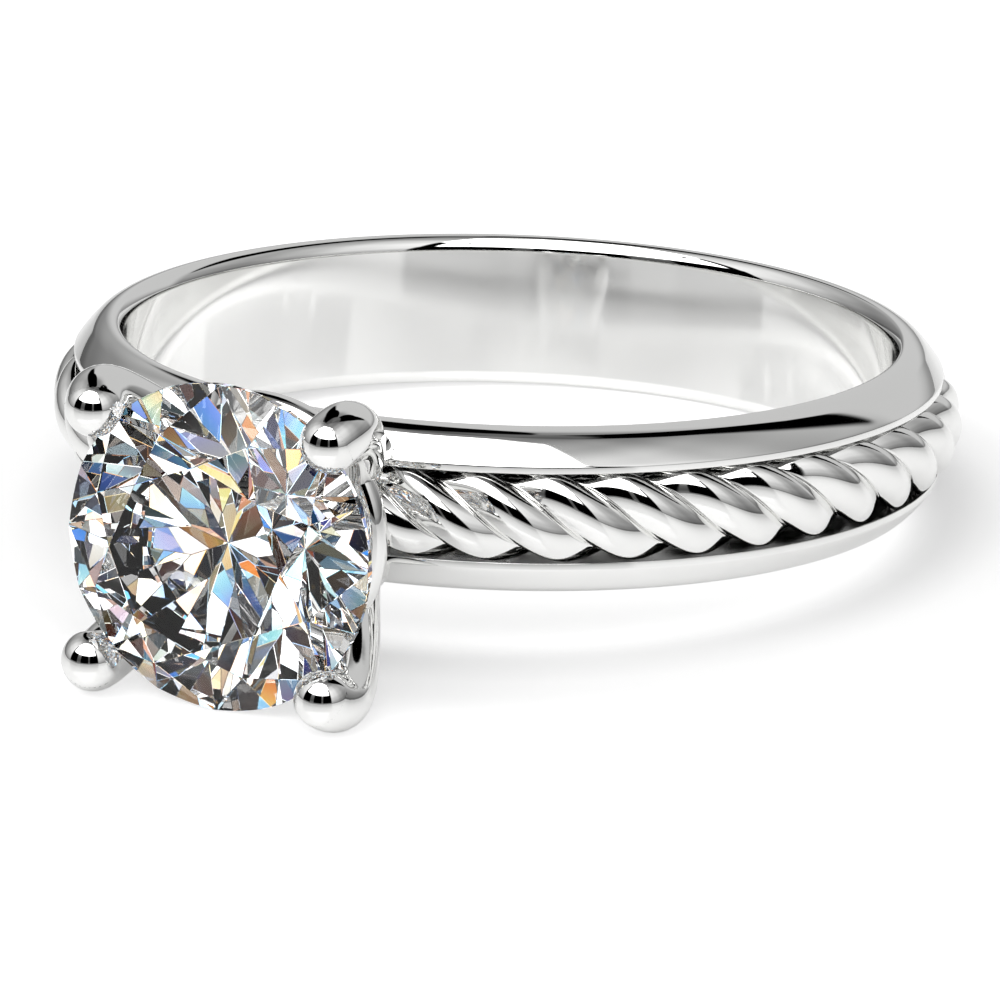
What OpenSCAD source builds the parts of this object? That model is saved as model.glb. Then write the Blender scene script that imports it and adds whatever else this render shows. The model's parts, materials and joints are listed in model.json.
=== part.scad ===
// Twisted shank solitaire ring: a channelled band, a three-strand twist that fills the
// channel, a four-prong setting soldered to the band, and a round brilliant stone.
// The ring lies on its side as it rests by itself, on two prong tips and the far edge
// of the band. The band's axis is close to +Z and the stone looks along -Y.

/* [Band] */
// Inside diameter of the band, which is the finger size
inner_d = 16.5; // [15:0.1:21]
// Width of the band along the finger
band_w = 3.45; // [3.2:0.05:4.5]
// Thickness of the band from its bore to the lips of the channel
band_t = 1.08; // [0.95:0.01:1.5]
// Radius of the rounded edges beside the finger
comfort_r = 0.3; // [0.1:0.05:0.4]
// Radius of the rounded shoulder on the outside of each rail
shoulder_r = 0.6; // [0.3:0.05:0.7]
// Metal left between the bore and the floor of the channel
floor_t = 0.35; // [0.25:0.01:0.45]

/* [Twist] */
// Width of the channel between the two rails
channel_w = 1.97; // [1.5:0.01:2.2]
// Clearance between the twist and the channel
twist_gap = 0.02; // [0.01:0.01:0.05]
// Clearance between neighbouring strands
strand_gap = 0.04; // [0.02:0.01:0.08]
// Height of the twist above the lips of the channel
twist_rise = 0.44; // [0.2:0.01:0.6]
// Height of the twist's rounded face, from its widest line out to its top
twist_face = 0.8; // [0.6:0.01:0.95]
// Radius of each strand before it is pressed flat against its neighbours
strand_r = 0.56; // [0.45:0.01:0.7]
// Turns that each strand makes on its way round the band
twist_turns = 13; // [10:1:16]
// Turn of the first strand at the stone
twist_start = 107; // [0:1:360]

/* [Stone] */
// Diameter of the stone at its girdle
stone_d = 6.66; // [6:0.01:7.2]
// Thickness of the girdle where the kite facets meet it
girdle_t = 0.2; // [0.16:0.01:0.3]
// Width of the table as a share of the stone's diameter
table_share = 0.57; // [0.53:0.01:0.62]
// Slope of the kite facets of the crown
crown_angle = 34.5; // [32:0.5:36]
// Slope of the main facets of the pavilion
pavilion_angle = 40.75; // [40:0.25:42]
// Reach of the star facets from the table towards the girdle
star_share = 0.5; // [0.4:0.05:0.6]
// Reach of the lower halves from the girdle towards the culet
lower_share = 0.77; // [0.7:0.01:0.85]

/* [Setting] */
// Height of the girdle above the bore of the band
stone_height = 5.13; // [4.6:0.01:6]
// Clearance between the stone and its seat in the prongs
seat_gap = 0.03; // [0.02:0.01:0.06]
// Diameter of a prong at its round tip
tip_d = 1.2; // [1:0.02:1.3]
// Height of the centre of a prong tip above the girdle
tip_height = 0.44; // [0.35:0.01:0.6]
// Distance from the girdle out to the centre of a prong tip
tip_reach = 0.35; // [0.3:0.01:0.5]
// Diameter of a prong where it is stoutest, below the girdle
prong_d = 1.24; // [1.1:0.02:1.4]
// Diameter of a prong where it meets the band
foot_d = 0.94; // [0.8:0.02:1.1]
// Depth below the girdle of the guide that swells each prong outwards
swell_depth = 0.57; // [0.3:0.01:1]
// Distance along the band from a tip's centre out to that guide
swell_along = 0.52; // [0.2:0.02:0.7]
// Distance across the band from a tip's centre out to that guide
swell_across = 0.77; // [0.4:0.01:0.9]
// Depth below the girdle of the guide that bends each prong in under the stone
bend_depth = 2.05; // [1.7:0.05:2.4]
// Distance along the band from the middle of the setting to that guide
bend_along = 1.47; // [1.2:0.01:1.8]
// Distance across the band from its middle to that guide
bend_across = 0.6; // [0.4:0.02:1]
// Distance along the band from the middle of the setting to each prong's foot
foot_along = 1.2; // [1:0.05:1.6]
// Distance across the band from its middle to each prong's foot
foot_across = 1.28; // [1.1:0.02:1.5]
// Depth to which the feet run into the band, below its lips
foot_sink = 0.18; // [0.1:0.02:0.4]
// Outside diameter of the gallery rail that joins the prongs under the stone
gallery_d = 5.57; // [5.2:0.01:6]
// Thickness of the gallery rail
gallery_t = 0.6; // [0.4:0.05:0.7]
// Depth of the gallery rail below the girdle
gallery_drop = 1.83; // [1.5:0.01:2.1]

/* [Hidden] */

// Facets of exact round walls, of a strand round and along its turn, and of a prong,
// and the number of strands
round_fn = 96;
strand_sides = 10;
strand_steps = 16;
strand_count = 3;
prong_sides = 16;
prong_steps = 12;
tip_steps = 4;

inner_r = inner_d / 2;
half_w = band_w / 2;
lip_r = inner_r + band_t;
floor_r = inner_r + floor_t;

// The twist is a cable that is less high than wide, and lower still at its back
twist_r = channel_w / 2 - twist_gap;
twist_top_r = lip_r + twist_rise;
twist_axis_r = twist_top_r - twist_face;
twist_back = twist_axis_r - floor_r - twist_gap;
// Each strand has two flats that meet in an edge near the middle of the cable
strand_half = 180 / strand_count;
strand_edge = strand_gap / 2 / sin(strand_half);
strand_offset = twist_r - strand_r - strand_edge;

// The stone's own frame has its girdle at height 0 and its table upwards
stone_r = stone_d / 2;
girdle_z = girdle_t / 2;
table_r = stone_r * table_share;
crown_h = (stone_r - table_r) * tan(crown_angle);
pavilion_h = stone_r * tan(pavilion_angle);
facet_step = 45;
half_step = facet_step / 2;
quarter_step = facet_step / 4;
star_r = table_r * cos(half_step)
    + star_share * (stone_r - table_r * cos(half_step));
star_h = (stone_r - star_r * cos(half_step)) * tan(crown_angle);
lower_r = stone_r * (1 - lower_share);
lower_h = (stone_r - lower_r * cos(half_step)) * tan(pavilion_angle);
// The halves meet the round girdle in a dip, as deep as the arc between two of their
// corners stands outside its chord
chord_r = stone_r * cos(quarter_step);
upper_dip = (stone_r - chord_r) * star_h / (chord_r - star_r * cos(quarter_step));
lower_dip = (stone_r - chord_r) * lower_h / (chord_r - lower_r * cos(quarter_step));
stone_axis_r = inner_r + stone_height;

// The prongs stand at the corners of a square round the stone
tip_r = tip_d / 2;
tip_side = (stone_r + tip_reach) * cos(facet_step);
tip_axis_r = stone_axis_r + tip_height;

function press(u) = u * (u > 0 ? twist_face : twist_back) / twist_r;

// A point on the skin of a strand: place is the angle round the band, phase the
// strand's start, and side counts from the inner edge over the round outside
function strand_point(place, phase, side) =
    let (turn = phase - twist_turns * place,
         way = strand_half * (2 * (side - 1) / (strand_sides - 2) - 1),
         reach = strand_offset * cos(way)
             + sqrt(pow(strand_r, 2) - pow(strand_offset * sin(way), 2)),
         out = strand_edge + (side == 0 ? 0 : reach * cos(way)),
         across = side == 0 ? 0 : reach * sin(way),
         u = out * cos(turn) - across * sin(turn),
         z = out * sin(turn) + across * cos(turn),
         r = twist_axis_r + press(u))
    [r * sin(place), -r * cos(place), z];

// Faces of a skin of rings, each of so many sides; a closed one joins its last ring
// to its first, and an open one gets a flat cap at each end. A closed one is split the
// other way, so that the flats of two neighbouring strands bow away from each other
function skin_faces(rings, sides, closed) = concat(
    [for (i = [0 : rings - (closed ? 1 : 2)], j = [0 : sides - 1], half = [0, 1])
        let (a = i * sides + j,
             b = i * sides + (j + 1) % sides,
             c = ((i + 1) % rings) * sides + (j + 1) % sides,
             d = ((i + 1) % rings) * sides + j)
        closed ? (half == 0 ? [a, b, d] : [b, c, d])
            : half == 0 ? [a, b, c] : [a, c, d]],
    closed ? [] : [[for (j = [sides - 1 : -1 : 0]) j]],
    closed ? [] : [[for (j = [0 : sides - 1]) (rings - 1) * sides + j]]);

// Centre line of the prong on the +X side and above the band's middle, as a curve
// through four guides: [along the band, out from the band's axis, across the band]
prong_guides = [
    [tip_side, tip_axis_r, tip_side],
    [tip_side + swell_along, stone_axis_r - swell_depth, tip_side + swell_across],
    [bend_along, stone_axis_r - bend_depth, bend_across],
    [foot_along, lip_r - foot_sink, foot_across]];

function bezier(p, s) = pow(1 - s, 3) * p[0] + 3 * pow(1 - s, 2) * s * p[1]
    + 3 * (1 - s) * s * s * p[2] + pow(s, 3) * p[3];
function bezier_way(p, s) = pow(1 - s, 2) * (p[1] - p[0])
    + 2 * (1 - s) * s * (p[2] - p[1]) + s * s * (p[3] - p[2]);
function prong_radius(s) = s < 0.5
    ? tip_r + (prong_d / 2 - tip_r) * sin(180 * s)
    : prong_d / 2 + (foot_d - prong_d) / 2 * (1 - sin(180 * s));

// A ring of points round a centre, square to a direction, in the band's own frame
function ring_points(centre, way, r) =
    let (w = way / norm(way),
         across = cross(w, [0, 0, 1]) / norm(cross(w, [0, 0, 1])),
         up = cross(across, w))
    [for (j = [0 : prong_sides - 1])
        let (q = centre + r * (cos(360 * j / prong_sides) * across
                               - sin(360 * j / prong_sides) * up))
        [q[0], -q[1], q[2]]];

prong_points = concat(
    [for (i = [tip_steps : -1 : 1], q = ring_points(
        prong_guides[0] + [0, tip_r * sin(86 * i / tip_steps), 0],
        [0, -1, 0], tip_r * cos(86 * i / tip_steps))) q],
    [for (i = [0 : prong_steps], q = ring_points(
        bezier(prong_guides, i / prong_steps),
        bezier_way(prong_guides, i / prong_steps),
        prong_radius(i / prong_steps))) q]);

// The ring tips until the lower prongs, or the girdle where that hangs lower, lie
// level with the far edge of the band
function head_low(tilt) = max(
    stone_r * cos(tilt) - (stone_axis_r - girdle_z) * sin(tilt),
    max([for (q = prong_points) q[2] * cos(tilt) + q[1] * sin(tilt)]));
function band_low(tilt) = (lip_r - shoulder_r) * sin(tilt)
    + (half_w - shoulder_r) * cos(tilt) + shoulder_r;
function level_tilt(low, high, tries) =
    let (mid = (low + high) / 2)
    tries == 0 ? mid
        : head_low(mid) > band_low(mid) ? level_tilt(mid, high, tries - 1)
        : level_tilt(low, mid, tries - 1);
rest_tilt = level_tilt(0, 20, 40);
rest_lift = band_low(rest_tilt);
// The middle of the ring's length lies over the origin
tip_end = max([for (q = prong_points) q[2] * sin(rest_tilt) - q[1] * cos(rest_tilt)]);
band_end = twist_axis_r * cos(rest_tilt)
    + norm([twist_face * cos(rest_tilt), twist_r * sin(rest_tilt)]);
rest_shift = (tip_end - band_end) / 2;

module in_rest() {
    translate([0, rest_shift, rest_lift]) rotate([-rest_tilt, 0, 0]) children();
}

// Moves from the stone's own frame to its place in the band's frame
module at_stone() {
    translate([0, -stone_axis_r, 0]) rotate([90, 0, 0]) children();
}

module band_section() {
    difference() {
        union() {
            translate([inner_r, comfort_r - half_w])
                square([band_t - shoulder_r, band_w - 2 * comfort_r]);
            translate([inner_r + comfort_r, -half_w])
                square([band_t - comfort_r - shoulder_r, band_w]);
            translate([inner_r + comfort_r, shoulder_r - half_w])
                square([band_t - comfort_r, band_w - 2 * shoulder_r]);
            for (way = [-1, 1]) {
                translate([inner_r + comfort_r, way * (half_w - comfort_r)])
                    circle(r = comfort_r, $fn = round_fn);
                shoulder(way);
            }
        }
        translate([floor_r, -channel_w / 2]) square([band_t, channel_w]);
    }
}

// The outer half of a round edge, which may be larger than half the band's thickness
module shoulder(way) {
    intersection() {
        translate([lip_r - shoulder_r, way * (half_w - shoulder_r)])
            circle(r = shoulder_r, $fn = round_fn);
        translate([lip_r - shoulder_r, -half_w]) square([shoulder_r, band_w]);
    }
}

module band() {
    rotate_extrude($fn = round_fn) band_section();
}

module prong() {
    polyhedron(prong_points,
        skin_faces(tip_steps + prong_steps + 1, prong_sides, false));
}

module prongs() {
    for (side = [0, 1], over = [0, 1])
        mirror([side, 0, 0]) mirror([0, 0, over]) prong();
}

module gallery() {
    at_stone() translate([0, 0, -gallery_drop]) rotate_extrude($fn = round_fn)
        translate([(gallery_d - gallery_t) / 2, 0]) circle(d = gallery_t, $fn = round_fn);
}

// Room for the stone, which also cuts the bearing in each prong
module seat() {
    at_stone() rotate_extrude($fn = round_fn) polygon([
        [0, -pavilion_h - girdle_z],
        [stone_r + seat_gap, -girdle_z],
        [stone_r + seat_gap, girdle_z],
        [table_r + seat_gap, girdle_z + crown_h],
        [table_r + seat_gap, girdle_z + crown_h + tip_d],
        [0, girdle_z + crown_h + tip_d]]);
}

// Keeps the feet of the prongs out of the channel and the finger hole
module clear_of_feet() {
    rotate_extrude($fn = round_fn) translate([floor_r, -channel_w / 2])
        square([twist_top_r + twist_gap - floor_r, channel_w]);
    cylinder(h = 2 * band_w, r = inner_r, center = true, $fn = round_fn);
}

module shank_and_setting() {
    color("silver") in_rest() union() {
        band();
        difference() {
            union() {
                prongs();
                gallery();
            }
            seat();
            clear_of_feet();
        }
    }
}

module strand(phase) {
    rings = twist_turns * strand_steps;
    polyhedron([for (i = [0 : rings - 1], j = [0 : strand_sides - 1])
            strand_point(360 * i / rings, phase, j)],
        skin_faces(rings, strand_sides, true));
}

module twist_strand_a() {
    color("gainsboro") in_rest() strand(twist_start);
}

module twist_strand_b() {
    color("gainsboro") in_rest() strand(twist_start + 2 * strand_half);
}

module twist_strand_c() {
    color("gainsboro") in_rest() strand(twist_start - 2 * strand_half);
}

function around(r, step, z) = [r * cos(step * quarter_step), r * sin(step * quarter_step), z];

// The round brilliant: its table has 8 corners, and its girdle 32 corners above and 32
// below. Of each 4 steps round the girdle, the first is under the tip of a kite
module diamond() {
    stars = 8;
    above = 16;
    below = 48;
    lows = 80;
    culet = 88;
    points = concat(
        [for (k = [0 : 7]) around(table_r, 4 * k, girdle_z + crown_h)],
        [for (k = [0 : 7]) around(star_r, 4 * k + 2, girdle_z + star_h)],
        [for (j = [0 : 31]) around(stone_r, j, girdle_z - (j % 2) * upper_dip)],
        [for (j = [0 : 31]) around(stone_r, j, (j % 2) * lower_dip - girdle_z)],
        [for (k = [0 : 7]) around(lower_r, 4 * k + 2, -girdle_z - lower_h)],
        [[0, 0, -girdle_z - pavilion_h]]);
    table = [for (k = [7 : -1 : 0]) k];
    star_facets = [for (k = [0 : 7]) [k, (k + 1) % 8, stars + k]];
    kites = [for (k = [0 : 7])
        [k, stars + k, above + 4 * k, stars + (k + 7) % 8]];
    upper_halves = [for (k = [0 : 7], half = [0, 2])
        let (j = 4 * k + half)
        [stars + k, above + (j + 2) % 32, above + j + 1, above + j]];
    girdle = [for (j = [0 : 31])
        [above + j, above + (j + 1) % 32, below + (j + 1) % 32, below + j]];
    lower_halves = [for (k = [0 : 7], half = [0, 2])
        let (j = 4 * k + half)
        [lows + k, below + j, below + j + 1, below + (j + 2) % 32]];
    mains = [for (k = [0 : 7])
        [culet, lows + (k + 7) % 8, below + 4 * k, lows + k]];
    color("aliceblue") in_rest() at_stone() polyhedron(points, concat(
        [table], star_facets, kites, upper_halves, girdle, lower_halves, mains));
}

shank_and_setting();
twist_strand_a();
twist_strand_b();
twist_strand_c();
diamond();
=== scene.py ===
import json
from math import atan2, cos, pi, radians, sin, tan

import bmesh
import bpy
from mathutils import Matrix, Vector


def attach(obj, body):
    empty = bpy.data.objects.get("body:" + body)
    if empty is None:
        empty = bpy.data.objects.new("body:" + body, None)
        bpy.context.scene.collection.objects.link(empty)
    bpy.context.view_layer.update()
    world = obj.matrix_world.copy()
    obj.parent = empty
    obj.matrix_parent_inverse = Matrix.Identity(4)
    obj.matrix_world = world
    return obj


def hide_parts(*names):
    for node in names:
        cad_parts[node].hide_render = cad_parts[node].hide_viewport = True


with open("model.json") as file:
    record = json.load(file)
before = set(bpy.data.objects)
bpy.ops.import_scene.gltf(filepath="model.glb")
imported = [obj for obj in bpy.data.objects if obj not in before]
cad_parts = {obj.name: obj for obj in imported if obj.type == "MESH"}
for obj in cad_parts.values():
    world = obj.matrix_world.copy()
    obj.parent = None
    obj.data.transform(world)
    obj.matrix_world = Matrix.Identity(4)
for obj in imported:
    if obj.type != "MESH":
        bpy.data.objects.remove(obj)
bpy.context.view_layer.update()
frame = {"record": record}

mm = 0.001
weld = 1e-4  # millimetres, points closer than this become one

# How the ring lies: the finger hole's place and axis come with the frame
fingerHole = frame["record"]["mounts"][0]
holeAxis = Vector(fingerHole["axis"])
restTilt = atan2(holeAxis.y, holeAxis.z)
inRest = Matrix.Translation(fingerHole["pos_m"]) @ Matrix.Rotation(-restTilt, 4, "X")

band = {  # millimetres, in the band's own frame with its axis upright
    "innerRadius": fingerHole["dims"]["r_mm"],
    "width": 3.45,
    "thickness": 1.08,
    "lipRadius": 0.02,
    "lipSteps": 4,
    "lipReach": 0.055,  # the lips are rubbed over towards the rope
    "lipDepth": 0.1375,
    "floorThickness": 0.35,
    "channelWidth": 1.97,
    "roughShadedReach": 0.05,  # how far into the channel the polishing wheel gets; deeper faces are rougher, and darker as painted shade
    "boreEdge": 0.002,  # what lies this close to the bore is finished with it
    "steps": 384,
    "crease": 35,  # degrees, an edge that bends more stays sharp
}
# The rounded side of a rail as arcs, from its lip down to the bore: from one slope to the
# next in degrees, the radius, and the steps. The first radius follows from the others
rim = (
    (34, 45, None, 10),
    (45, 90, 0.62, 16),
    (90, 135, 0.17, 12),
    (135, 159, 0.52, 8),
    (159, 180, 0.3, 8),
)
bandLip = band["innerRadius"] + band["thickness"]
channelFloor = band["innerRadius"] + band["floorThickness"]

twist = {
    "clearance": 0.02,
    "strandGap": 0.03,
    "rise": 0.44,  # above the lips of the channel
    "face": 0.8,  # the rounded face, from its widest line out to its top
    "strandRadius": 0.56,
    "strands": 3,
    "turns": 13,
    "start": 107,  # degrees, at the stone
    "sides": 40,
    "stepsPerTurn": 60,
    "crease": 60,
}
ropeHalf = band["channelWidth"] / 2 - twist["clearance"]
ropeTop = bandLip + twist["rise"]
ropeAxis = ropeTop - twist["face"]
ropeBack = ropeAxis - channelFloor - twist["clearance"]
strandOffset = ropeHalf - twist["strandRadius"]

stone = {
    "diameter": 6.66,
    "girdle": 0.2,
    "table": 0.57,  # share of the diameter
    "crownAngle": 34.5,
    "pavilionAngle": 40.75,
    "starReach": 0.5,
    "lowerHalfReach": 0.77,
    "height": 5.13,  # girdle above the bore
    "girdleSteps": 96,
    "flatWithin": 0.2,  # degrees, faces that bend less are one facet
    "polish": 0.007,  # width of the worn facet edges
    "index": 2.42,
    "glareHidden": 0.75,  # share of the outside glare that the camera doesn't see
}
stoneRadius = stone["diameter"] / 2
girdleHalf = stone["girdle"] / 2
stoneHeight = band["innerRadius"] + stone["height"]
tableRadius = stoneRadius * stone["table"]
crownHeight = (stoneRadius - tableRadius) * tan(radians(stone["crownAngle"]))
pavilionDepth = stoneRadius * tan(radians(stone["pavilionAngle"]))
eighth = 2 * pi / 8
sixteenth = eighth / 2

# From the stone's own frame, girdle at 0 and table up, to its place on the ring
tableOut = Matrix.Rotation(pi / 2, 4, "X")
toStone = Matrix.Translation((0, -stoneHeight, 0)) @ tableOut
atStone = inRest @ Matrix.Translation((0, -stoneHeight * mm, 0)) @ tableOut

prong = {
    "tipDiameter": 1.2,
    "tipHeight": 0.44,
    "tipReach": 0.35,
    "stoutDiameter": 1.24,
    "footDiameter": 0.94,
    "swell": (0.52, 0.57, 0.77),  # along, depth below the girdle, across
    "bend": (1.47, 2.05, 0.6),
    "foot": (1.2, 1.28),
    "footSink": 0.18,
    "sides": 36,
    "steps": 36,
    "domeSteps": 12,
    "domeShare": 0.98,  # the dome stops just short of its crown
    "crease": 28,
}
gallery = {"diameter": 5.57, "thickness": 0.6, "drop": 1.83, "sides": 24, "steps": 96}
seatGap = 0.03


def keepPiece(bm, name, node, material, crease):
    bmesh.ops.scale(bm, vec=(mm, mm, mm), verts=bm.verts)
    return placePiece(bm, name, node, material, inRest, crease)


def placePiece(bm, name, node, material, place, crease):
    bmesh.ops.transform(bm, matrix=place, verts=bm.verts)
    bmesh.ops.recalc_face_normals(bm, faces=bm.faces)
    for face in bm.faces:
        face.smooth = True
    for edge in bm.edges:  # a real edge stays sharp
        edge.smooth = len(edge.link_faces) == 2 and edge.calc_face_angle() < radians(crease)
    mesh = bpy.data.meshes.new(name)
    bm.to_mesh(mesh)
    bm.free()
    piece = bpy.data.objects.new(name, mesh)
    bpy.context.scene.collection.objects.link(piece)
    mesh.materials.append(material)
    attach(piece, "root")
    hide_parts(node)
    return piece


def spinWhole(bm, steps):
    bmesh.ops.spin(bm, geom=bm.verts[:] + bm.edges[:], cent=(0, 0, 0), axis=(0, 0, 1),
                   angle=2 * pi, steps=steps, use_merge=True)
    bmesh.ops.remove_doubles(bm, verts=bm.verts, dist=weld)


# Small helpers for the node trees

def joinOrSet(links, socket, value):
    if isinstance(value, (int, float)):
        socket.default_value = value
    else:
        links.new(value, socket)


def maths(nodes, links, operation, *values):
    node = nodes.new("ShaderNodeMath")
    node.operation = operation
    for socket, value in zip(node.inputs, values):
        joinOrSet(links, socket, value)
    return node.outputs["Value"]


def step(nodes, links, value, start, end, fromLevel=0.0, toLevel=1.0):
    node = nodes.new("ShaderNodeMapRange")
    node.interpolation_type = "SMOOTHSTEP"
    node.inputs["From Min"].default_value = start
    node.inputs["From Max"].default_value = end
    node.inputs["To Min"].default_value = fromLevel
    node.inputs["To Max"].default_value = toLevel
    links.new(value, node.inputs["Value"])
    return node.outputs["Result"]


def between(nodes, links, value, low, high, soft):
    return maths(nodes, links, "MULTIPLY", step(nodes, links, value, low - soft, low + soft),
                 step(nodes, links, value, high - soft, high + soft, 1.0, 0.0))


def curve(nodes, links, value, low, high, stops):
    span = nodes.new("ShaderNodeMapRange")
    span.inputs["From Min"].default_value = low
    span.inputs["From Max"].default_value = high
    links.new(value, span.inputs["Value"])
    node = nodes.new("ShaderNodeValToRGB")
    node.color_ramp.interpolation = "EASE"
    elements = node.color_ramp.elements
    while len(elements) < len(stops):
        elements.new(0.5)
    for element, (place, shade) in zip(elements, stops):
        element.position = (place - low) / (high - low)
        element.color = (shade, shade, shade, 1)
    links.new(span.outputs["Result"], node.inputs["Fac"])
    return node.outputs["Color"]


def blend(nodes, links, under, over, share):
    node = nodes.new("ShaderNodeMix")
    node.data_type = "FLOAT"
    for socket, value in zip(node.inputs[0:1] + node.inputs[2:4], (share, under, over)):
        joinOrSet(links, socket, value)
    return node.outputs[0]


# The metal: bright white gold, with the faint marks that polishing and wear leave, and a painted
# shade that darkens the rope's channel

metal = {
    "bright": (0.88, 0.88, 0.87),
    # painted shade: the channel's darker colour stands in for the shade in the rope's creases
    "paintedShadeGrey": (0.5, 0.5, 0.5),
    "wheelScale": 900.0,
    "cloudScale": 260.0,
    "cloudSpan": (0.35, 0.7),  # the clouds' own levels that give the least and most roughness
    "markDepth": 0.002,  # millimetres
}


def polishGroup():
    group = bpy.data.node_groups.new("polish marks", "ShaderNodeTree")
    for name, value in (("Wheel scale", metal["wheelScale"]), ("Cloud scale", metal["cloudScale"]),
                        ("Least", 0.02), ("Most", 0.06)):
        socket = group.interface.new_socket(name, in_out="INPUT", socket_type="NodeSocketFloat")
        socket.default_value = value
    for name in ("Roughness", "Height"):
        group.interface.new_socket(name, in_out="OUTPUT", socket_type="NodeSocketFloat")
    nodes, links = group.nodes, group.links
    given = nodes.new("NodeGroupInput")
    result = nodes.new("NodeGroupOutput")
    place = nodes.new("ShaderNodeTexCoord")
    clouds = nodes.new("ShaderNodeTexNoise")
    clouds.inputs["Detail"].default_value = 3
    links.new(place.outputs["Object"], clouds.inputs["Vector"])
    links.new(given.outputs["Cloud scale"], clouds.inputs["Scale"])
    wheel = nodes.new("ShaderNodeTexNoise")
    wheel.inputs["Detail"].default_value = 4
    links.new(place.outputs["Object"], wheel.inputs["Vector"])
    links.new(given.outputs["Wheel scale"], wheel.inputs["Scale"])
    spread = nodes.new("ShaderNodeMapRange")
    for name, level in zip(("From Min", "From Max"), metal["cloudSpan"]):
        spread.inputs[name].default_value = level
    links.new(clouds.outputs["Fac"], spread.inputs["Value"])
    links.new(given.outputs["Least"], spread.inputs["To Min"])
    links.new(given.outputs["Most"], spread.inputs["To Max"])
    links.new(spread.outputs["Result"], result.inputs["Roughness"])
    links.new(wheel.outputs["Fac"], result.inputs["Height"])
    return group


def whiteGold(name, marks, colour, least, most, relief):
    material = bpy.data.materials.new(name)
    material.use_nodes = True
    nodes, links = material.node_tree.nodes, material.node_tree.links
    shader = nodes["Principled BSDF"]
    shader.inputs["Base Color"].default_value = (*colour, 1)
    shader.inputs["Metallic"].default_value = 1
    polish = nodes.new("ShaderNodeGroup")
    polish.node_tree = marks
    polish.inputs["Least"].default_value = least
    polish.inputs["Most"].default_value = most
    links.new(polish.outputs["Roughness"], shader.inputs["Roughness"])
    bump = nodes.new("ShaderNodeBump")
    bump.inputs["Strength"].default_value = relief
    bump.inputs["Distance"].default_value = metal["markDepth"] * mm
    links.new(polish.outputs["Height"], bump.inputs["Height"])
    links.new(bump.outputs["Normal"], shader.inputs["Normal"])
    return material


marks = polishGroup()
bright, paintedShadeGrey = metal["bright"], metal["paintedShadeGrey"]
bandMetal = whiteGold("polished band", marks, bright, least=0.02, most=0.05, relief=0.15)
boreMetal = whiteGold("softly polished bore", marks, bright, least=0.05, most=0.09, relief=0.1)
# rougher where the wheel doesn't reach, and darker: a painted shade in the channel
channelMetalPaintedShade = whiteGold("unpolished channel with painted shade", marks, paintedShadeGrey, least=0.15, most=0.3, relief=0.5)
ropeMetal = whiteGold("polished rope", marks, bright, least=0.02, most=0.06, relief=0.2)
prongMetal = whiteGold("polished prongs", marks, bright, least=0.015, most=0.04, relief=0.1)


def stoneGlass():
    material = bpy.data.materials.new("diamond")
    material.use_nodes = True
    nodes, links = material.node_tree.nodes, material.node_tree.links
    nodes.remove(nodes["Principled BSDF"])
    glass = nodes.new("ShaderNodeBsdfGlass")
    clear = nodes.new("ShaderNodeBsdfRefraction")
    for shader in (glass, clear):
        shader.inputs["Color"].default_value = (1, 1, 1, 1)
        shader.inputs["Roughness"].default_value = 0
        shader.inputs["IOR"].default_value = stone["index"]
    path = nodes.new("ShaderNodeLightPath")
    share = maths(nodes, links, "MULTIPLY", path.outputs["Is Camera Ray"], stone["glareHidden"])
    both = nodes.new("ShaderNodeMixShader")
    links.new(share, both.inputs["Fac"])
    links.new(glass.outputs[0], both.inputs[1])
    links.new(clear.outputs[0], both.inputs[2])
    links.new(both.outputs[0], nodes["Material Output"].inputs["Surface"])
    return material


diamondGlass = stoneGlass()
print("materials ready")


# The band: the side of one rail is drawn arc by arc, mirrored, and spun round

def arcAcross(start, end):
    return cos(radians(start)) - cos(radians(end))


def arcUp(start, end):
    return sin(radians(end)) - sin(radians(start))


def drawRim(bm):
    lipSlopes, (bendStart, bendEnd, bendRadius) = rim[0][:2], rim[1][:3]
    others = sum(radius * arcAcross(start, end) for start, end, radius, steps in rim[1:])
    lipArc = (band["thickness"] - others) / arcAcross(*lipSlopes)
    rise = lipArc * arcUp(*lipSlopes) + bendRadius * arcUp(bendStart, bendEnd)
    lip = bm.verts.new((bandLip, 0, band["width"] / 2 - rise))
    centre, reach, vert = lip.co.copy(), 0, lip
    for start, end, radius, steps in rim:
        radius = radius or lipArc
        centre += (reach - radius) * Vector((cos(radians(start)), 0, sin(radians(start))))
        reach = radius
        arc = bmesh.ops.spin(bm, geom=[vert], cent=centre, axis=(0, -1, 0),
                             angle=radians(end - start), steps=steps)
        vert = [item for item in arc["geom_last"] if isinstance(item, bmesh.types.BMVert)][0]
    return lip


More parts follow.
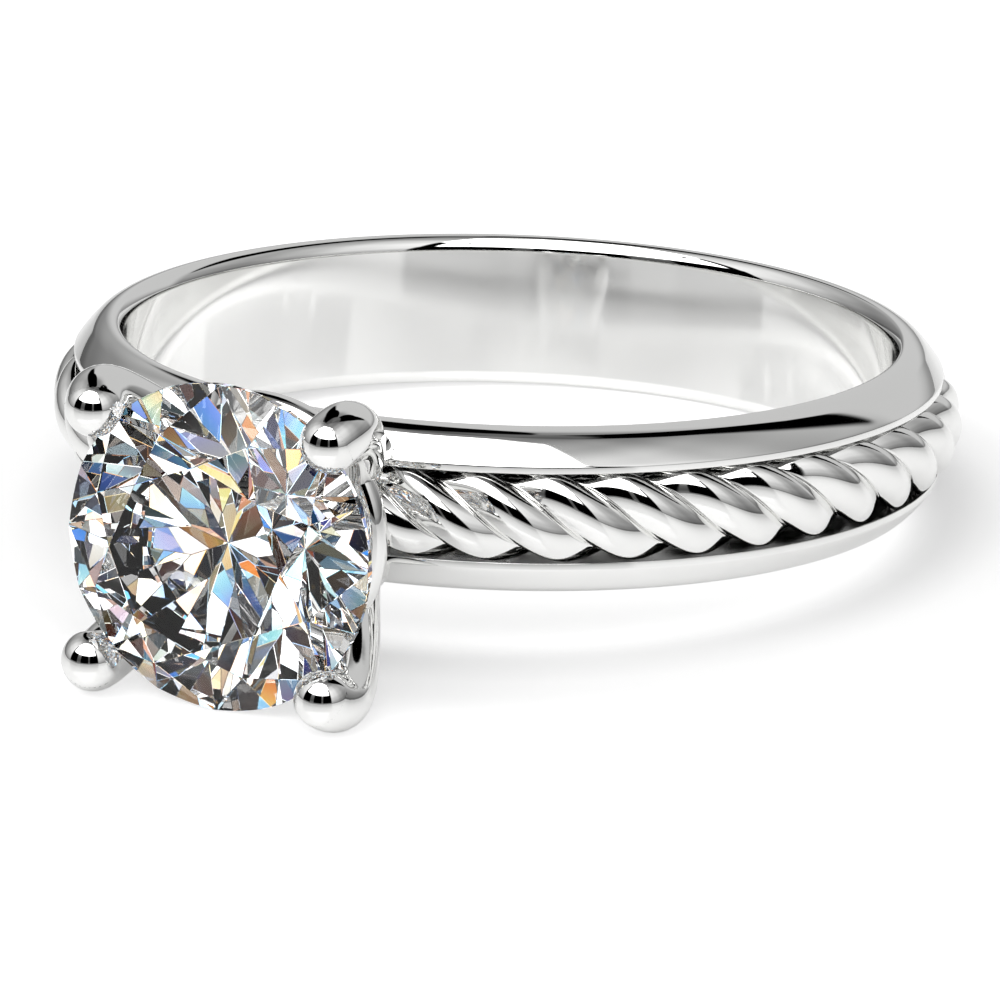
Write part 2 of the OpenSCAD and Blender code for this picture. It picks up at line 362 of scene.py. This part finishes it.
def makeBand():
    bm = bmesh.new()
    lipOutside = drawRim(bm)
    wall = band["channelWidth"] / 2
    lipInside = bm.verts.new((bandLip, 0, wall - band["lipReach"]))
    wallTop = bm.verts.new((bandLip - band["lipDepth"], 0, wall))
    corner = bm.verts.new((channelFloor, 0, wall))
    for pair in ((lipOutside, lipInside), (lipInside, wallTop), (wallTop, corner)):
        bm.edges.new(pair)
    bmesh.ops.bevel(bm, geom=[lipOutside, lipInside], offset=band["lipRadius"],
                    offset_type="OFFSET", affect="VERTICES", segments=band["lipSteps"],
                    profile=0.5, material=-1)
    bmesh.ops.mirror(bm, geom=bm.verts[:] + bm.edges[:], axis="Z", merge_dist=-1)
    for radius in (band["innerRadius"], channelFloor):  # close the bore and the channel's floor
        bm.edges.new([vert for vert in bm.verts if abs(vert.co.x - radius) < weld])
    spinWhole(bm, band["steps"])
    for face in bm.faces:
        middle = face.calc_center_median()
        if middle.xy.length < band["innerRadius"] + band["boreEdge"]:
            face.material_index = 1
        # faces deep in the channel get the rough metal with painted shade
        elif middle.xy.length < bandLip - band["roughShadedReach"] and abs(middle.z) <= wall:
            face.material_index = 2
    shank = keepPiece(bm, "shank", "shank_and_setting", bandMetal, band["crease"])
    shank.data.materials.append(boreMetal)
    shank.data.materials.append(channelMetalPaintedShade)
    return shank


shank = makeBand()
weighted = shank.modifiers.new("even shine", "WEIGHTED_NORMAL")
weighted.keep_sharp = True
print("band ready", len(shank.data.polygons))


# The rope: a strand's section is spun into a long screw, which is then bent round the channel

def bentRound(co):
    place = co.z / ropeAxis
    radius = ropeAxis + co.x * (twist["face"] if co.x > 0 else ropeBack) / ropeHalf
    return Vector((radius * sin(place), -radius * cos(place), co.y))


def makeStrand(name, node, turn):
    bm = bmesh.new()
    bmesh.ops.create_circle(bm, cap_ends=True, segments=twist["sides"],
                            radius=twist["strandRadius"],
                            matrix=Matrix.Translation((strandOffset, 0, 0)))
    half = pi / twist["strands"]
    for side in (-1, 1):  # pressed flat against its neighbours
        outward = Vector((-sin(half), side * cos(half), 0))
        bmesh.ops.bisect_plane(bm, geom=bm.verts[:] + bm.edges[:] + bm.faces[:],
                               plane_co=-outward * twist["strandGap"] / 2, plane_no=outward,
                               clear_outer=True)
    bmesh.ops.delete(bm, geom=bm.faces[:], context="FACES_ONLY")
    bmesh.ops.rotate(bm, verts=bm.verts, cent=(0, 0, 0),
                     matrix=Matrix.Rotation(radians(turn), 3, "Z"))
    steps = twist["turns"] * twist["stepsPerTurn"]
    bmesh.ops.spin(bm, geom=bm.verts[:] + bm.edges[:], cent=(0, 0, 0), axis=(0, 0, 1),
                   dvec=(0, 0, 2 * pi * ropeAxis / steps), angle=-2 * pi * twist["turns"],
                   steps=steps)
    for vert in bm.verts:
        vert.co = bentRound(vert.co)
    bmesh.ops.remove_doubles(bm, verts=bm.verts, dist=10 * weld)
    return keepPiece(bm, name, node, ropeMetal, twist["crease"])


for letter, turn in (("a", 0), ("b", 120), ("c", -120)):
    strand = makeStrand("rope_strand_" + letter, "twist_strand_" + letter, twist["start"] + turn)
    print("rope strand ready", letter, len(strand.data.polygons))


# The setting: four swept prongs and the rail under the stone, cut to the stone's seat

def prongGuides():
    side = (stoneRadius + prong["tipReach"]) * cos(pi / 4)
    swell, bend, foot = prong["swell"], prong["bend"], prong["foot"]
    return [Vector((side, -stoneHeight - prong["tipHeight"], side)),
            Vector((side + swell[0], -stoneHeight + swell[1], side + swell[2])),
            Vector((bend[0], -stoneHeight + bend[1], bend[2])),
            Vector((foot[0], -bandLip + prong["footSink"], foot[1]))]


def prongPlace(guides, s):
    a, b, c, d = guides
    return a * (1 - s) ** 3 + b * (3 * s * (1 - s) ** 2) + c * (3 * s * s * (1 - s)) + d * s ** 3


def prongWay(guides, s):
    a, b, c, d = guides
    return ((b - a) * (1 - s) ** 2 + (c - b) * (2 * s * (1 - s)) + (d - c) * s * s).normalized()


def prongRadius(s):
    tip, stout, foot = (prong[key] / 2 for key in ("tipDiameter", "stoutDiameter", "footDiameter"))
    bulge = sin(pi * s)
    return tip + (stout - tip) * bulge if s < 0.5 else foot + (stout - foot) * bulge


def squareTo(way, centre):
    across = way.cross(Vector((0, 0, 1))).normalized()
    turned = Matrix((across, across.cross(way), -way)).transposed().to_4x4()
    return Matrix.Translation(centre) @ turned


def ringEdges(verts):
    held = set(verts)
    return [edge for edge in {e for v in verts for e in v.link_edges} if set(edge.verts) <= held]


def prongRing(bm, radius, way, centre):
    circle = bmesh.ops.create_circle(bm, segments=prong["sides"], radius=radius,
                                     matrix=squareTo(way, centre))
    return ringEdges(circle["verts"])


def makeProng(bm):
    guides = prongGuides()
    rings = []
    tip = prong["tipDiameter"] / 2
    for k in range(prong["domeSteps"], 0, -1):  # the round tip, from its crown back to its widest
        lift = pi / 2 * k / prong["domeSteps"] * prong["domeShare"]
        centre = guides[0] - Vector((0, tip * sin(lift), 0))
        rings.append(prongRing(bm, tip * cos(lift), Vector((0, 1, 0)), centre))
    for k in range(prong["steps"] + 1):
        s = k / prong["steps"]
        rings.append(prongRing(bm, prongRadius(s), prongWay(guides, s), prongPlace(guides, s)))
    bmesh.ops.contextual_create(bm, geom=rings[0])
    bmesh.ops.contextual_create(bm, geom=rings[-1])
    for near, far in zip(rings, rings[1:]):
        bmesh.ops.bridge_loops(bm, edges=near + far)
    bmesh.ops.recalc_face_normals(bm, faces=bm.faces)


def makeProngs():
    bm = bmesh.new()
    makeProng(bm)
    for axis in ("X", "Z"):
        bmesh.ops.mirror(bm, geom=bm.verts[:] + bm.edges[:] + bm.faces[:], axis=axis, merge_dist=-1)
    bmesh.ops.recalc_face_normals(bm, faces=bm.faces)
    return bm


def spunUnderStone(bm, steps):
    spinWhole(bm, steps)
    bmesh.ops.transform(bm, verts=bm.verts, matrix=toStone)
    bmesh.ops.recalc_face_normals(bm, faces=bm.faces)
    return bm


def makeRail():
    bm = bmesh.new()
    tube = gallery["thickness"] / 2
    side = Matrix.Translation((gallery["diameter"] / 2 - tube, 0, -gallery["drop"]))
    bmesh.ops.create_circle(bm, segments=gallery["sides"], radius=tube,
                            matrix=side @ Matrix.Rotation(pi / 2, 4, "X"))
    return spunUnderStone(bm, gallery["steps"])


def makeSeatCutter():
    bm = bmesh.new()
    wide = stoneRadius + seatGap
    mouth = tableRadius + seatGap
    table = girdleHalf + crownHeight
    above = table + prong["tipDiameter"]
    outline = ((0, -pavilionDepth - girdleHalf), (wide, -girdleHalf), (wide, girdleHalf),
               (mouth, table), (mouth, above), (0, above))
    verts = [bm.verts.new((x, 0, z)) for x, z in outline]
    for a, b in zip(verts, verts[1:]):
        bm.edges.new((a, b))
    return spunUnderStone(bm, stone["girdleSteps"])


def makeRopeCutter():
    bm = bmesh.new()
    half, outer = band["channelWidth"] / 2, ropeTop + twist["clearance"]
    outline = ((channelFloor, -half), (outer, -half), (outer, half), (channelFloor, half))
    verts = [bm.verts.new((x, 0, z)) for x, z in outline]
    for a, b in zip(verts, verts[1:] + verts[:1]):
        bm.edges.new((a, b))
    spinWhole(bm, band["steps"] // 2)
    bmesh.ops.recalc_face_normals(bm, faces=bm.faces)
    return bm


def scratchObject(name, bm):
    mesh = bpy.data.meshes.new(name)
    bm.to_mesh(mesh)
    bm.free()
    obj = bpy.data.objects.new(name, mesh)
    bpy.context.scene.collection.objects.link(obj)
    return obj


def carved(body, cuts):
    for tool, way in cuts:
        cut = body.modifiers.new(tool.name, "BOOLEAN")
        cut.object = tool
        cut.operation = way
        cut.solver = "EXACT"
    seen = body.evaluated_get(bpy.context.evaluated_depsgraph_get())
    bm = bmesh.new()
    bm.from_mesh(seen.to_mesh())
    seen.to_mesh_clear()
    for obj in [body] + [tool for tool, way in cuts]:
        bpy.data.objects.remove(obj)
    return bm


def makeSetting():
    body = scratchObject("prong rods", makeProngs())
    rail = scratchObject("rail tube", makeRail())
    seat = scratchObject("seat tool", makeSeatCutter())
    groove = scratchObject("groove tool", makeRopeCutter())
    bm = carved(body, ((rail, "UNION"), (seat, "DIFFERENCE"), (groove, "DIFFERENCE")))
    bmesh.ops.dissolve_degenerate(bm, dist=weld / 10, edges=bm.edges)
    return keepPiece(bm, "setting", "shank_and_setting", prongMetal, prong["crease"])


setting = makeSetting()
print("setting ready", len(setting.data.polygons))


# The stone: a round blank, ground flat facet by facet

def around(radius, turn, height):
    return Vector((radius * cos(turn), radius * sin(turn), height))


def facetPlane(a, b, c):
    normal = (b - a).cross(c - a).normalized()
    return (a, normal if normal.dot(a) > 0 else -normal)  # away from the stone's middle


def stonePlanes():
    planes = [(Vector((0, 0, girdleHalf + crownHeight)), Vector((0, 0, 1)))]
    star = tableRadius * cos(sixteenth)
    star += stone["starReach"] * (stoneRadius - star)
    starDrop = (stoneRadius - star * cos(sixteenth)) * tan(radians(stone["crownAngle"]))
    lower = stoneRadius * (1 - stone["lowerHalfReach"])
    lowerDrop = (stoneRadius - lower * cos(sixteenth)) * tan(radians(stone["pavilionAngle"]))
    for k in range(8):
        turn = k * eighth
        for angle, way in ((stone["crownAngle"], 1), (stone["pavilionAngle"], -1)):
            slope = radians(angle)
            planes.append((around(stoneRadius, turn, way * girdleHalf),
                           around(sin(slope), turn, way * cos(slope))))
        planes.append(facetPlane(around(tableRadius, turn, girdleHalf + crownHeight),
                                 around(tableRadius, turn + eighth, girdleHalf + crownHeight),
                                 around(star, turn + sixteenth, girdleHalf + starDrop)))
        for end in (turn, turn + eighth):
            planes.append(facetPlane(around(star, turn + sixteenth, girdleHalf + starDrop),
                                     around(stoneRadius, end, girdleHalf),
                                     around(stoneRadius, turn + sixteenth, girdleHalf)))
            planes.append(facetPlane(around(lower, turn + sixteenth, -girdleHalf - lowerDrop),
                                     around(stoneRadius, end, -girdleHalf),
                                     around(stoneRadius, turn + sixteenth, -girdleHalf)))
    return planes


def grindFacet(bm, point, normal):
    cut = bmesh.ops.bisect_plane(bm, geom=bm.verts[:] + bm.edges[:] + bm.faces[:],
                                 dist=weld / 100, plane_co=point, plane_no=normal,
                                 clear_outer=True)
    edges = [item for item in cut["geom_cut"] if isinstance(item, bmesh.types.BMEdge)]
    bmesh.ops.contextual_create(bm, geom=edges)


def makeStone():
    bm = bmesh.new()
    bmesh.ops.create_cone(bm, cap_ends=True, segments=stone["girdleSteps"], radius1=stoneRadius,
                          radius2=stoneRadius, depth=4 * pavilionDepth)
    for point, normal in stonePlanes():
        grindFacet(bm, point, normal)
    bmesh.ops.remove_doubles(bm, verts=bm.verts, dist=weld)
    bmesh.ops.dissolve_limit(bm, angle_limit=radians(stone["flatWithin"]), verts=bm.verts,
                             edges=bm.edges)
    bmesh.ops.bevel(bm, geom=bm.edges[:], offset=stone["polish"], offset_type="OFFSET",
                    affect="EDGES", segments=1, profile=0.5, clamp_overlap=True, material=-1)
    bmesh.ops.scale(bm, vec=(mm, mm, mm), verts=bm.verts)
    return placePiece(bm, "brilliant", "diamond", diamondGlass, atStone, crease=0)


brilliant = makeStone()
for face in brilliant.data.polygons:
    face.use_smooth = False
print("stone ready", len(brilliant.data.polygons), "facets and girdle faces")


# The studio: a pale floor, a wide softbox in front, dark boards under it, paler sides.
# Its angles are degrees, seen from the ring; turn 0 is the way the stone looks, rise 0 is level

studio = {
    "azimuth": 25.34,  # the camera's place round the ring
    "elevation": 19.14,
    "distance": 141.61,
    "aim": (0.667, 0.623, 0.798),
    "lens": 238.95,
    "sensor": 36,
    "bounces": 12,
    "glossyBounces": 6,
}

walls = {
    "byTurn": ((0, 1.0), (60, 1.05), (80, 0.9), (100, 0.58), (118, 0.42), (150, 0.62),
               (180, 0.64)),
    "byRise": ((-2, 0.1), (1.5, 0.25), (5, 0.42), (15, 0.64), (28, 0.9), (42, 1.0), (56, 0.8),
               (68, 0.42), (80, 0.22), (90, 0.24)),
}
backWall = {
    "level": 0.62,
    "turn": (144, 152),  # it starts softly between these
    "top": (50, 62),
    "foot": (0, 9),
    "footLevel": 0.3,
}
flags = {  # black, leaning outwards on the way up
    "inner": (158, 162),
    "outer": (145, 148),
    "lean": 0.72,  # degrees aside for each degree up
    "bend": 45,  # above this the outer edge leans more
    "bendLean": 0.9,
    "rise": (21, 76),
    "soft": 2,
}
softLight = {
    "halfWidth": 56,
    "low": 32,
    "high": 81,
    "arch": 0.0025,
    "strength": 3.4,
    "sideSoft": 1,
    "lowSoft": 0.6,
    "highSoft": 1.5,
}
boards = {  # black, under the softbox, with a grey cloth behind them
    "turns": ((-58, -27), (-12, 19), (25, 54)),
    "foot": 3.5,
    "gap": 0.5,  # up to the softbox
    "soft": 0.8,
    "cloth": ((0, 0.2), (12, 0.08), (24, 0.12), (32, 0.4)),
    "clothFoot": 1.5,
    "clothSide": (1, 3),  # beyond the softbox, where it ends softly
    "clothSoft": 0.6,
}
post = {  # black, at each side of the softbox, with an ear that hooks inwards
    "turn": (51.5, 57),
    "rise": (3, 52),
    "ear": (42, 54),
    "earTop": (51, 53),
    "earFoot": (6.5, 8.5),
    "earLean": 0.9,
    "soft": 0.8,
}
lamps = {  # what light from inside the stone meets: many soft lamps and dark gaps
    "scale": 10,
    "fire": 0.007,
    "aside": (0.7, 0.45, -0.55),
    "levels": ((0, 0.0), (0.4, 0.01), (0.46, 0.07), (0.52, 0.36), (0.57, 1.1), (0.65, 2.4)),
}


def drawWalls(nodes, links, away, rise):
    level = maths(nodes, links, "MULTIPLY", curve(nodes, links, away, 0, 180, walls["byTurn"]),
                  curve(nodes, links, rise, -2, 90, walls["byRise"]))
    behind = maths(nodes, links, "MULTIPLY", step(nodes, links, away, *backWall["turn"]),
                   step(nodes, links, rise, *backWall["top"], 1.0, 0.0))
    behind = maths(nodes, links, "MULTIPLY", behind,
                   step(nodes, links, rise, *backWall["foot"], backWall["footLevel"], 1.0))
    level = blend(nodes, links, level, backWall["level"], behind)
    inner = maths(nodes, links, "MULTIPLY_ADD", rise, flags["lean"], away)
    above = maths(nodes, links, "SUBTRACT", rise, flags["bend"])
    above = maths(nodes, links, "MAXIMUM", above, 0.0)
    outer = maths(nodes, links, "MULTIPLY_ADD", above, -flags["bendLean"], away)
    flag = maths(nodes, links, "MULTIPLY", step(nodes, links, inner, *flags["inner"]),
                 step(nodes, links, outer, *flags["outer"], 1.0, 0.0))
    flag = maths(nodes, links, "MULTIPLY", flag,
                 between(nodes, links, rise, *flags["rise"], flags["soft"]))
    return blend(nodes, links, level, 0.0, flag)


def drawSoftbox(nodes, links, level, away, rise):
    wide, low, high = softLight["halfWidth"], softLight["low"], softLight["high"]
    sideSoft, lowSoft, highSoft = (softLight[key] for key in ("sideSoft", "lowSoft", "highSoft"))
    squared = maths(nodes, links, "MULTIPLY", away, away)
    arched = maths(nodes, links, "MULTIPLY_ADD", squared, softLight["arch"], rise)
    box = maths(nodes, links, "MULTIPLY", step(nodes, links, rise, low - lowSoft, low + lowSoft),
                step(nodes, links, arched, high - highSoft, high + highSoft, 1.0, 0.0))
    box = maths(nodes, links, "MULTIPLY", box,
                step(nodes, links, away, wide - sideSoft, wide + sideSoft, 1.0, 0.0))
    return blend(nodes, links, level, softLight["strength"], box)


def drawBoards(nodes, links, level, turn, away, rise):
    top = softLight["low"]
    near, far = (softLight["halfWidth"] + edge for edge in boards["clothSide"])
    under = maths(nodes, links, "MULTIPLY", step(nodes, links, away, near, far, 1.0, 0.0),
                  between(nodes, links, rise, boards["clothFoot"], top, boards["clothSoft"]))
    cloth = curve(nodes, links, rise, 0, 32, boards["cloth"])
    level = blend(nodes, links, level, cloth, under)
    black = 0.0
    for left, right in boards["turns"]:
        board = between(nodes, links, turn, left, right, boards["soft"])
        black = maths(nodes, links, "MAXIMUM", black, board)
    hung = between(nodes, links, rise, boards["foot"], top - boards["gap"], boards["clothSoft"])
    return blend(nodes, links, level, 0.0, maths(nodes, links, "MULTIPLY", black, hung))


def drawPosts(nodes, links, level, away, rise):
    pole = maths(nodes, links, "MULTIPLY", between(nodes, links, away, *post["turn"], post["soft"]),
                 between(nodes, links, rise, *post["rise"], post["soft"]))
    slant = maths(nodes, links, "MULTIPLY_ADD", away, -post["earLean"], rise)
    ear = maths(nodes, links, "MULTIPLY", step(nodes, links, rise, *post["earTop"], 1.0, 0.0),
                step(nodes, links, slant, *post["earFoot"]))
    ear = maths(nodes, links, "MULTIPLY", ear,
                between(nodes, links, away, *post["ear"], post["soft"]))
    return blend(nodes, links, level, 0.0, maths(nodes, links, "MAXIMUM", pole, ear))


def makeWorld():
    world = bpy.data.worlds.new("studio")
    bpy.context.scene.world = world
    world.use_nodes = True
    nodes, links = world.node_tree.nodes, world.node_tree.links
    sight = nodes.new("ShaderNodeTexCoord").outputs["Generated"]
    split = nodes.new("ShaderNodeSeparateXYZ")
    links.new(sight, split.inputs["Vector"])
    forward = maths(nodes, links, "MULTIPLY", split.outputs["Y"], -1.0)
    turn = maths(nodes, links, "ARCTAN2", split.outputs["X"], forward)
    turn = maths(nodes, links, "DEGREES", turn)
    rise = maths(nodes, links, "DEGREES", maths(nodes, links, "ARCSINE", split.outputs["Z"]))
    away = maths(nodes, links, "ABSOLUTE", turn)
    level = drawWalls(nodes, links, away, rise)
    level = drawSoftbox(nodes, links, level, away, rise)
    level = drawBoards(nodes, links, level, turn, away, rise)
    level = drawPosts(nodes, links, level, away, rise)
    # Light that leaves the stone meets the lamps, each colour a little aside, for its fire
    leaves = nodes.new("ShaderNodeLightPath").outputs["Is Transmission Ray"]
    colours = nodes.new("ShaderNodeCombineColor")
    for channel, shift in (("Red", -lamps["fire"]), ("Green", 0), ("Blue", lamps["fire"])):
        moved = nodes.new("ShaderNodeVectorMath")
        moved.operation = "ADD"
        moved.inputs[1].default_value = [part * shift for part in lamps["aside"]]
        links.new(sight, moved.inputs[0])
        clouds = nodes.new("ShaderNodeTexNoise")
        clouds.inputs["Scale"].default_value = lamps["scale"]
        clouds.inputs["Detail"].default_value = 1
        links.new(moved.outputs[0], clouds.inputs["Vector"])
        bright = curve(nodes, links, clouds.outputs["Fac"], 0, 1, lamps["levels"])
        links.new(blend(nodes, links, level, bright, leaves), colours.inputs[channel])
    links.new(colours.outputs[0], nodes["Background"].inputs["Color"])


ground = {
    "radius": 3.0,  # metres
    "sides": 64,
    "glossShade": 0.86,
    "glossRoughness": 0.12,
    "glossGlow": 0.18,
    "mattShade": 1.25,
    # share of the camera's floor that is painted light and shadow instead of real shading
    "paintedLightShare": 0.6,
    # painted light and shadow: the floor glows, bright under the ring and a little less in a
    # painted shadow right under the band's edge: millimetres from its axis, level
    "paintedFloorLight": ((4, 1.2), (8.2, 1.2), (9.6, 0.68), (11.2, 0.86), (13.8, 1.15)),
}


def grey(shade):
    return (shade, shade, shade, 1)


def floorMaterial():
    material = bpy.data.materials.new("pale floor")
    material.use_nodes = True
    nodes, links = material.node_tree.nodes, material.node_tree.links
    gloss = nodes["Principled BSDF"]
    gloss.inputs["Base Color"].default_value = grey(ground["glossShade"])
    gloss.inputs["Roughness"].default_value = ground["glossRoughness"]
    gloss.inputs["Emission Color"].default_value = grey(1)
    gloss.inputs["Emission Strength"].default_value = ground["glossGlow"]
    matt = nodes.new("ShaderNodeBsdfDiffuse")
    matt.inputs["Color"].default_value = grey(ground["mattShade"])
    away = nodes.new("ShaderNodeVectorMath")
    away.operation = "DISTANCE"
    away.inputs[1].default_value = (0, fingerHole["pos_m"][1], 0)
    links.new(nodes.new("ShaderNodeTexCoord").outputs["Object"], away.inputs[0])
    away = maths(nodes, links, "DIVIDE", away.outputs["Value"], mm)
    # painted light and shadow: an emission that brightens or darkens the floor by its distance from
    # the ring's axis
    paintedFloorLight = nodes.new("ShaderNodeEmission")
    links.new(curve(nodes, links, away, 4, 14, ground["paintedFloorLight"]), paintedFloorLight.inputs["Color"])
    lit = nodes.new("ShaderNodeMixShader")
    lit.inputs["Fac"].default_value = ground["paintedLightShare"]
    links.new(matt.outputs[0], lit.inputs[1])
    links.new(paintedFloorLight.outputs[0], lit.inputs[2])
    clear = nodes.new("ShaderNodeBsdfTransparent")
    path = nodes.new("ShaderNodeLightPath")
    surface = gloss.outputs[0]
    # The camera sees the floor with its real shading mixed with painted light and shadow, the ring
    # mirrors the glossy one, the stone looks through it
    for seenBy, shader in (("Is Camera Ray", lit), ("Is Transmission Ray", clear)):
        both = nodes.new("ShaderNodeMixShader")
        links.new(path.outputs[seenBy], both.inputs["Fac"])
        links.new(surface, both.inputs[1])
        links.new(shader.outputs[0], both.inputs[2])
        surface = both.outputs[0]
    links.new(surface, nodes["Material Output"].inputs["Surface"])
    return material


def makeFloor():
    bm = bmesh.new()
    bmesh.ops.create_circle(bm, cap_ends=True, segments=ground["sides"], radius=ground["radius"])
    floor = scratchObject("floor", bm)
    floor.data.materials.append(floorMaterial())


def makeCamera():
    turn, rise = radians(studio["azimuth"]), radians(studio["elevation"])
    back = Vector((sin(turn) * cos(rise), -cos(turn) * cos(rise), sin(rise)))
    data = bpy.data.cameras.new("camera")
    data.lens = studio["lens"]
    data.sensor_width = studio["sensor"]
    data.clip_start = 1 * mm
    data.clip_end = 10
    camera = bpy.data.objects.new("camera", data)
    bpy.context.scene.collection.objects.link(camera)
    camera.location = (Vector(studio["aim"]) + back * studio["distance"]) * mm
    camera.rotation_euler = (-back).to_track_quat("-Z", "Y").to_euler()
    bpy.context.scene.camera = camera


makeWorld()
makeFloor()
makeCamera()
scene = bpy.context.scene
scene.view_settings.view_transform = "Standard"
scene.cycles.max_bounces = studio["bounces"]
scene.cycles.transmission_bounces = studio["bounces"]
scene.cycles.glossy_bounces = studio["glossyBounces"]
print("studio ready")
